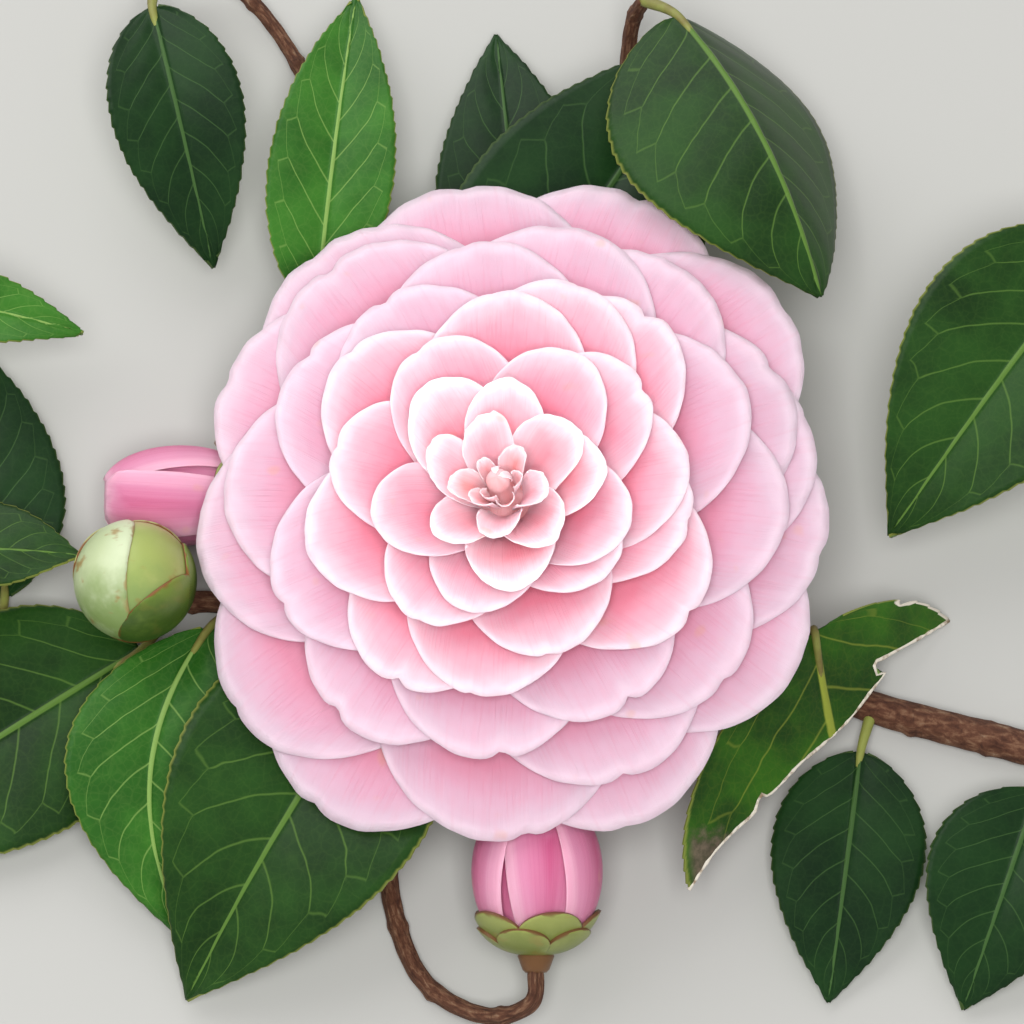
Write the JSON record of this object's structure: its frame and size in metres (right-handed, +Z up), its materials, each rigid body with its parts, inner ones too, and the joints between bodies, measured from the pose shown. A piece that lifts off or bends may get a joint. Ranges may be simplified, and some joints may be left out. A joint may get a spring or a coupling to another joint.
{
  "type": "cut camellia sprig in bloom",
  "caption": "Cut flowering sprig laid flat: an open formal double bloom facing up, half-open blooms, a round bud and glossy leaves on forking woody twigs.",
  "frame": {"origin": "centre of the sprig's box, on the level surface that it lies on", "axes": "+Z up, out of the open bloom's face; +X along the sprig's longest side, towards the twig's cut end; +Y towards the leaf above the bloom"},
  "size_m": [0.1908, 0.1572, 0.0417],
  "materials": {
    "bark": "matt red-brown bark with fine grain",
    "leaf": "glossy dark green leaf with paler veins",
    "petal": "satin pale pink petal, deeper pink at its base",
    "deep_petal": "satin rose pink petal",
    "calyx": "matt olive green sepals",
    "bud": "smooth pale green bud scales with brown edges"
  },
  "bodies": {
    "root": {"main_twig": "bark", "left_twig": "bark", "top_twig": "bark", "upper_left_twig": "bark", "bud_twig": "bark", "left_bloom_twig": "bark", "right_twig": "bark", "low_twig": "bark", "leaf_top_right": "leaf", "leaf_top": "leaf", "leaf_top_back": "leaf", "leaf_upper_left": "leaf", "leaf_far_upper_left": "leaf", "leaf_right": "leaf", "leaf_torn": "leaf", "leaf_lower_right": "leaf", "leaf_far_right": "leaf", "leaf_bottom": "leaf", "leaf_lower_left": "leaf", "leaf_left_low": "leaf", "leaf_left_upright": "leaf", "leaf_left_back": "leaf", "leaf_left_small": "leaf", "main_bloom": "petal", "main_calyx": "calyx", "left_bloom": "deep_petal", "left_bloom_calyx": "calyx", "low_bloom": "deep_petal", "low_bloom_calyx": "calyx", "bud": "bud"}
  },
  "joints": []
}
